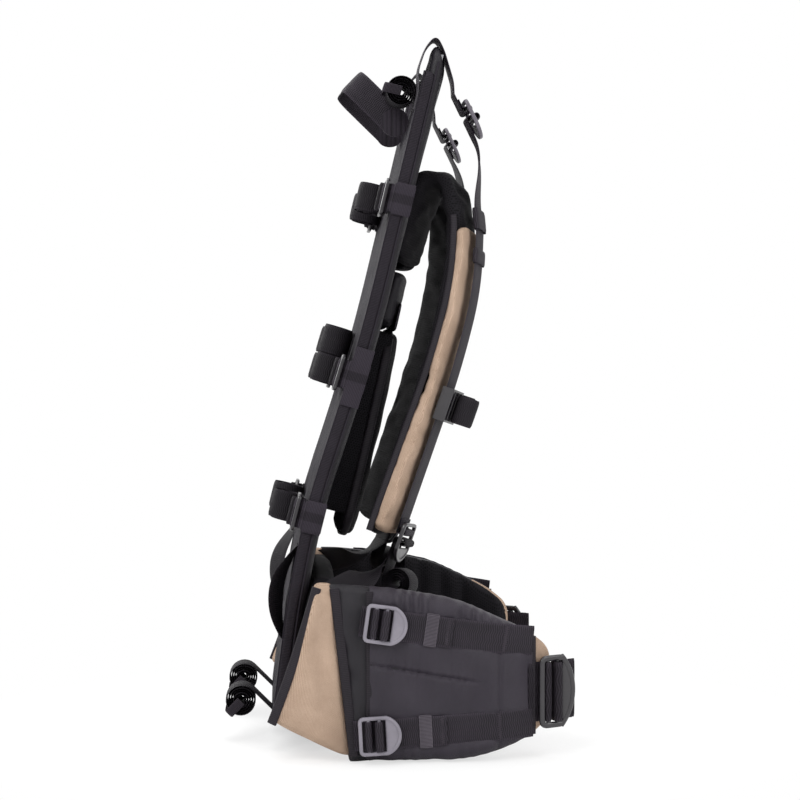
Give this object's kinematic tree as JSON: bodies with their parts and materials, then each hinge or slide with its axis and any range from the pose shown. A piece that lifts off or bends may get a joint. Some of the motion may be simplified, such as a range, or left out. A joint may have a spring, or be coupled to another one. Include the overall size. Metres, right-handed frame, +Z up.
{
  "type": "air pack",
  "caption": "Load-carrying pack frame with stays, padded shoulder harness, load lifters, rolled side straps and a padded hip belt, standing on the belt.",
  "frame": {"origin": "middle of the footprint box, on the floor that the hip belt stands on", "axes": "+X the wearer's front, +Y the wearer's left, +Z up"},
  "size_m": [0.3014, 0.3562, 0.6112],
  "materials": {
    "sheet_plastic": "matte",
    "grey_fabric": "woven",
    "stay_metal": "satin",
    "black_nylon": "woven nylon",
    "black_mesh": "spacer mesh",
    "tan_fabric": "coarse woven",
    "black_webbing": "ribbed webbing",
    "grey_elastic": "ribbed elastic",
    "black_elastic": "ribbed elastic",
    "lock_plastic": "satin",
    "grey_lock_plastic": "satin"
  },
  "bodies": {
    "frame": {"frame_sheet": "sheet_plastic", "frame_cover": "grey_fabric", "stays": "stay_metal", "stay_sleeves": "black_nylon", "back_pad": "black_mesh", "yoke": "black_mesh", "yoke_band": "black_nylon", "lumbar_pad": "black_mesh", "base_panels": "tan_fabric", "webbing_rails": "black_webbing", "lower_strap_webbing": "black_webbing", "side_strap_tabs": "black_webbing", "load_strap_rolls": "black_webbing", "elastic_keepers": "black_elastic", "lifter_webbing": "black_webbing", "back_loops": "black_webbing", "right_shoulder_pad": "black_mesh", "right_shoulder_cover": "tan_fabric", "left_shoulder_pad": "black_mesh", "left_shoulder_cover": "tan_fabric"},
    "grab_handle": {"grab_handle": "black_webbing"},
    "right_wing": {"right_wing_pad": "black_mesh", "right_wing_cover": "black_nylon", "right_wing_webbing": "black_webbing", "right_wing_keepers": "grey_elastic", "right_belt_webbing": "black_webbing"},
    "right_wing_lock_upper": {"right_wing_lock_upper": "grey_lock_plastic"},
    "right_wing_lock_lower": {"right_wing_lock_lower": "grey_lock_plastic"},
    "right_belt_lock": {"right_belt_lock": "lock_plastic", "right_belt_tail": "black_webbing"},
    "right_lifter_lock": {"right_lifter_lock": "lock_plastic"},
    "right_shoulder_lock": {"right_shoulder_lock": "lock_plastic"},
    "right_sternum_slider": {"right_sternum_slider": "lock_plastic", "right_sternum_strap": "black_webbing"},
    "right_side_lock_upper": {"right_side_lock_upper": "lock_plastic", "right_side_strap_upper": "black_webbing"},
    "right_side_lock_middle": {"right_side_lock_middle": "lock_plastic", "right_side_strap_middle": "black_webbing"},
    "right_side_lock_lower": {"right_side_lock_lower": "lock_plastic", "right_side_strap_lower": "black_webbing"},
    "left_wing": {"left_wing_pad": "black_mesh", "left_wing_cover": "black_nylon", "left_wing_webbing": "black_webbing", "left_wing_keepers": "grey_elastic", "left_belt_webbing": "black_webbing"},
    "left_wing_lock_upper": {"left_wing_lock_upper": "grey_lock_plastic"},
    "left_wing_lock_lower": {"left_wing_lock_lower": "grey_lock_plastic"},
    "left_belt_lock": {"left_belt_lock": "lock_plastic", "left_belt_tail": "black_webbing"},
    "left_lifter_lock": {"left_lifter_lock": "lock_plastic"},
    "left_shoulder_lock": {"left_shoulder_lock": "lock_plastic"},
    "left_sternum_slider": {"left_sternum_slider": "lock_plastic", "left_sternum_strap": "black_webbing"},
    "left_side_lock_upper": {"left_side_lock_upper": "lock_plastic", "left_side_strap_upper": "black_webbing"},
    "left_side_lock_middle": {"left_side_lock_middle": "lock_plastic", "left_side_strap_middle": "black_webbing"},
    "left_side_lock_lower": {"left_side_lock_lower": "lock_plastic", "left_side_strap_lower": "black_webbing"}
  },
  "joints": [
    {"name": "right_wing_fold", "type": "hinge", "parent": "frame", "child": "right_wing", "pos_m": [-0.03859, -0.15, 0], "axis": [-0.1126, 0, 0.9936], "range_deg": [-20, 15]},
    {"name": "left_wing_fold", "type": "hinge", "parent": "frame", "child": "left_wing", "pos_m": [-0.03859, 0.15, 0], "axis": [-0.1126, 0, 0.9936], "range_deg": [-15, 20]},
    {"name": "right_wing_lock_upper_tilt", "type": "hinge", "parent": "right_wing", "child": "right_wing_lock_upper", "pos_m": [-0.02299, -0.172, 0.119], "axis": [-0.1392, 0, -0.9903], "range_deg": [0, 18]},
    {"name": "left_wing_lock_upper_tilt", "type": "hinge", "parent": "left_wing", "child": "left_wing_lock_upper", "pos_m": [-0.02299, 0.172, 0.119], "axis": [0.1392, 0, 0.9903], "range_deg": [0, 18]},
    {"name": "right_wing_lock_lower_tilt", "type": "hinge", "parent": "right_wing", "child": "right_wing_lock_lower", "pos_m": [-0.02799, -0.172, 0.025], "axis": [0.0523, 0, -0.9986], "range_deg": [0, 18]},
    {"name": "left_wing_lock_lower_tilt", "type": "hinge", "parent": "left_wing", "child": "left_wing_lock_lower", "pos_m": [-0.02799, 0.172, 0.025], "axis": [-0.0523, 0, 0.9986], "range_deg": [0, 18]},
    {"name": "right_belt_lock_tilt", "type": "hinge", "parent": "right_wing", "child": "right_belt_lock", "pos_m": [0.12506, -0.1536, 0.057], "axis": [0, 0, -1], "range_deg": [0, 18]},
    {"name": "left_belt_lock_tilt", "type": "hinge", "parent": "left_wing", "child": "left_belt_lock", "pos_m": [0.12506, 0.1536, 0.057], "axis": [0, 0, 1], "range_deg": [0, 18]},
    {"name": "right_lifter_lock_tilt", "type": "hinge", "parent": "frame", "child": "right_lifter_lock", "pos_m": [0.06301, -0.091, 0.557], "axis": [0, -1, 0], "range_deg": [0, 18]},
    {"name": "left_lifter_lock_tilt", "type": "hinge", "parent": "frame", "child": "left_lifter_lock", "pos_m": [0.06301, 0.091, 0.557], "axis": [0, -1, 0], "range_deg": [0, 18]},
    {"name": "right_shoulder_lock_tilt", "type": "hinge", "parent": "frame", "child": "right_shoulder_lock", "pos_m": [0.01078, -0.08308, 0.18617], "axis": [-0.3746, -0.9182, 0.129], "range_deg": [0, 18]},
    {"name": "left_shoulder_lock_tilt", "type": "hinge", "parent": "frame", "child": "left_shoulder_lock", "pos_m": [0.01078, 0.08308, 0.18617], "axis": [0.3746, -0.9182, -0.129], "range_deg": [0, 18]},
    {"name": "right_side_lock_upper_tilt", "type": "hinge", "parent": "frame", "child": "right_side_lock_upper", "pos_m": [-0.01058, -0.0975, 0.48009], "axis": [0.2328, 0, 0.9725], "range_deg": [0, 18]},
    {"name": "left_side_lock_upper_tilt", "type": "hinge", "parent": "frame", "child": "left_side_lock_upper", "pos_m": [-0.01058, 0.0975, 0.48009], "axis": [-0.2328, 0, -0.9725], "range_deg": [0, 18]},
    {"name": "right_side_lock_middle_tilt", "type": "hinge", "parent": "frame", "child": "right_side_lock_middle", "pos_m": [-0.04941, -0.0975, 0.32781], "axis": [0.3122, 0, 0.95], "range_deg": [0, 18]},
    {"name": "left_side_lock_middle_tilt", "type": "hinge", "parent": "frame", "child": "left_side_lock_middle", "pos_m": [-0.04941, 0.0975, 0.32781], "axis": [-0.3122, 0, -0.95], "range_deg": [0, 18]},
    {"name": "right_side_lock_lower_tilt", "type": "hinge", "parent": "frame", "child": "right_side_lock_lower", "pos_m": [-0.08843, -0.0975, 0.20579], "axis": [0.1985, 0, 0.9801], "range_deg": [0, 18]},
    {"name": "left_side_lock_lower_tilt", "type": "hinge", "parent": "frame", "child": "left_side_lock_lower", "pos_m": [-0.08843, 0.0975, 0.20579], "axis": [-0.1985, 0, -0.9801], "range_deg": [0, 18]},
    {"name": "right_sternum_slide", "type": "slide", "parent": "frame", "child": "right_sternum_slider", "axis": [-0.3302, 0.0021, -0.9439], "range_m": [0, 0.06]},
    {"name": "left_sternum_slide", "type": "slide", "parent": "frame", "child": "left_sternum_slider", "axis": [-0.3302, -0.0021, -0.9439], "range_m": [0, 0.06]},
    {"name": "grab_handle_swing", "type": "hinge", "parent": "frame", "child": "grab_handle", "pos_m": [0.00277, 0, 0.55303], "axis": [0, 1, 0], "range_deg": [-115, 55]}
  ]
}
